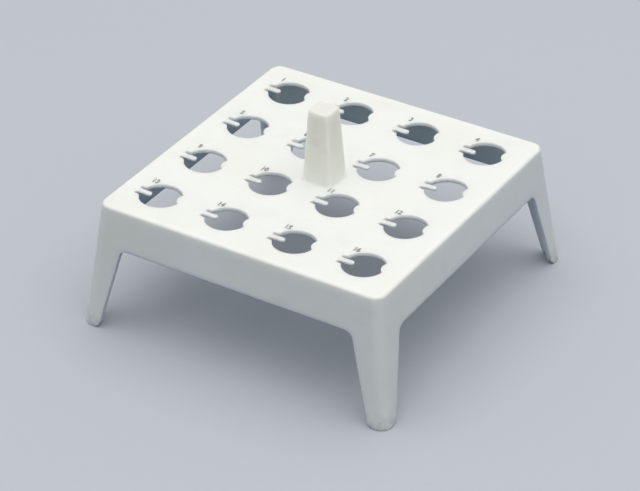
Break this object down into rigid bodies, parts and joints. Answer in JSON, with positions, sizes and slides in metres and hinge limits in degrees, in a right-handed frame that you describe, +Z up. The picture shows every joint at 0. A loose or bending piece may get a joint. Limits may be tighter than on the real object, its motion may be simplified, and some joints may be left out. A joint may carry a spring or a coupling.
{
  "type": "microcentrifuge tube rack",
  "caption": "Square white rack on splayed legs with a grid of round holes that grip small tubes and a tapered post to lift it by.",
  "frame": {"origin": "on the floor under the middle of the plate", "axes": "+Z up along the post, +X the way the finger in each tube hole points, +Y across it"},
  "size_m": [0.095, 0.095, 0.057],
  "materials": {
    "rack_plastic": "satin white polypropylene"
  },
  "bodies": {
    "root": {"tube_rack": "rack_plastic"}
  },
  "joints": []
}
